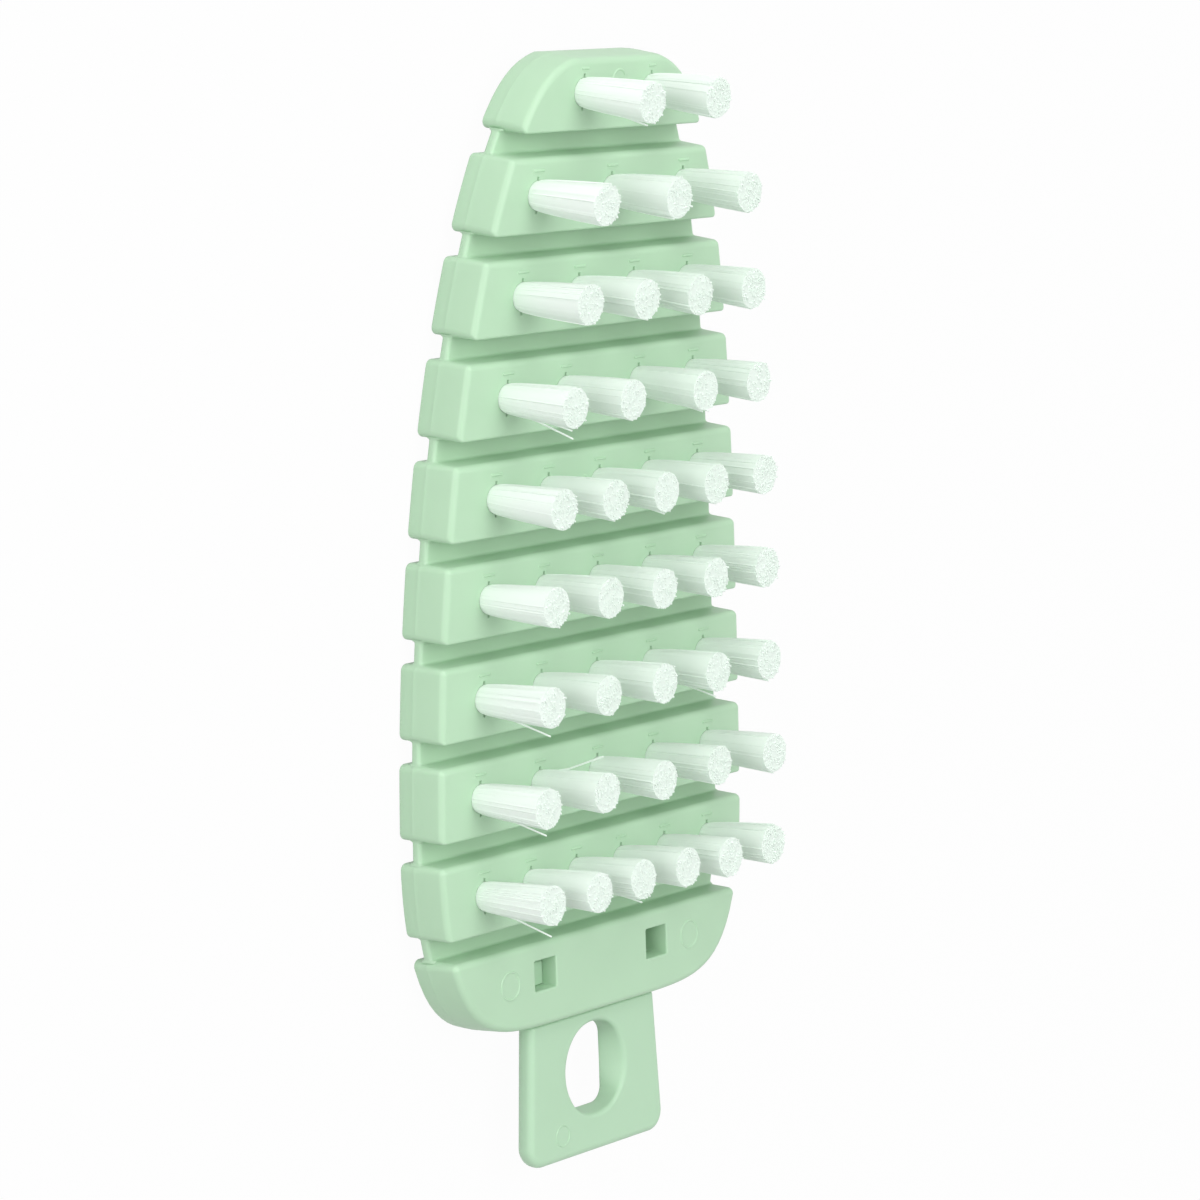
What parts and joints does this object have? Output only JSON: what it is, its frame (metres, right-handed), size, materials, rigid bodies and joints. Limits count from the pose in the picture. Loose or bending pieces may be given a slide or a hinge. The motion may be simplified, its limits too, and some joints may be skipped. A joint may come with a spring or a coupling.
{
  "type": "vegetable brush",
  "caption": "Bendable vegetable brush: rigid plastic blocks joined by thin flexing webs, staple-set bristle tufts and a snap-in hanging tab.",
  "frame": {"origin": "middle of the bounding box, on the surface that the brush rests on with its back", "axes": "+X along the brush from the hanging tab to the tip, +Y across it, +Z out of the front, along the tufts"},
  "size_m": [0.1592, 0.0698, 0.0229],
  "materials": {
    "body_plastic": "satin mint-green moulded plastic",
    "tab_plastic": "satin mint-green moulded plastic",
    "bristles": "translucent white nylon",
    "staples": "flat steel wire"
  },
  "bodies": {
    "base": {"base_block": "body_plastic", "hanging_tab": "tab_plastic", "web_9": "body_plastic"},
    "segment_9": {"block_9": "body_plastic", "tuft_row_9": "bristles", "staple_row_9": "staples", "web_8": "body_plastic"},
    "segment_8": {"block_8": "body_plastic", "tuft_row_8": "bristles", "staple_row_8": "staples", "web_7": "body_plastic"},
    "segment_7": {"block_7": "body_plastic", "tuft_row_7": "bristles", "staple_row_7": "staples", "web_6": "body_plastic"},
    "segment_6": {"block_6": "body_plastic", "tuft_row_6": "bristles", "staple_row_6": "staples", "web_5": "body_plastic"},
    "segment_5": {"block_5": "body_plastic", "tuft_row_5": "bristles", "staple_row_5": "staples", "web_4": "body_plastic"},
    "segment_4": {"block_4": "body_plastic", "tuft_row_4": "bristles", "staple_row_4": "staples", "web_3": "body_plastic"},
    "segment_3": {"block_3": "body_plastic", "tuft_row_3": "bristles", "staple_row_3": "staples", "web_2": "body_plastic"},
    "segment_2": {"block_2": "body_plastic", "tuft_row_2": "bristles", "staple_row_2": "staples", "web_1": "body_plastic"},
    "tip": {"tip_block": "body_plastic", "tuft_row_1": "bristles", "staple_row_1": "staples"}
  },
  "joints": [
    {"name": "bend_9", "type": "hinge", "parent": "base", "child": "segment_9", "pos_m": [-0.04434, 0, 0.00381], "axis": [0, -1, 0], "range_deg": [-12, 18], "stiffness_Nm_per_rad": 0.99, "deforming": ["web_9"]},
    {"name": "bend_8", "type": "hinge", "parent": "segment_9", "child": "segment_8", "pos_m": [-0.03035, 0, 0.00319], "axis": [0, -1, 0], "range_deg": [-12, 18], "stiffness_Nm_per_rad": 1.03, "deforming": ["web_8"]},
    {"name": "bend_7", "type": "hinge", "parent": "segment_8", "child": "segment_7", "pos_m": [-0.01635, 0, 0.00278], "axis": [0, -1, 0], "range_deg": [-12, 18], "stiffness_Nm_per_rad": 1.02, "deforming": ["web_7"]},
    {"name": "bend_6", "type": "hinge", "parent": "segment_7", "child": "segment_6", "pos_m": [-0.00236, 0, 0.00258], "axis": [0, -1, 0], "range_deg": [-12, 18], "stiffness_Nm_per_rad": 1, "deforming": ["web_6"]},
    {"name": "bend_5", "type": "hinge", "parent": "segment_6", "child": "segment_5", "pos_m": [0.01164, 0, 0.00258], "axis": [0, -1, 0], "range_deg": [-12, 18], "stiffness_Nm_per_rad": 0.97, "deforming": ["web_5"]},
    {"name": "bend_4", "type": "hinge", "parent": "segment_5", "child": "segment_4", "pos_m": [0.02564, 0, 0.00278], "axis": [0, -1, 0], "range_deg": [-12, 18], "stiffness_Nm_per_rad": 0.93, "deforming": ["web_4"]},
    {"name": "bend_3", "type": "hinge", "parent": "segment_4", "child": "segment_3", "pos_m": [0.03964, 0, 0.00319], "axis": [0, -1, 0], "range_deg": [-12, 18], "stiffness_Nm_per_rad": 0.86, "deforming": ["web_3"]},
    {"name": "bend_2", "type": "hinge", "parent": "segment_3", "child": "segment_2", "pos_m": [0.05362, 0, 0.00381], "axis": [0, -1, 0], "range_deg": [-12, 18], "stiffness_Nm_per_rad": 0.77, "deforming": ["web_2"]},
    {"name": "bend_1", "type": "hinge", "parent": "segment_2", "child": "tip", "pos_m": [0.0676, 0, 0.00463], "axis": [0, -1, 0], "range_deg": [-12, 18], "stiffness_Nm_per_rad": 0.63, "deforming": ["web_1"]}
  ]
}
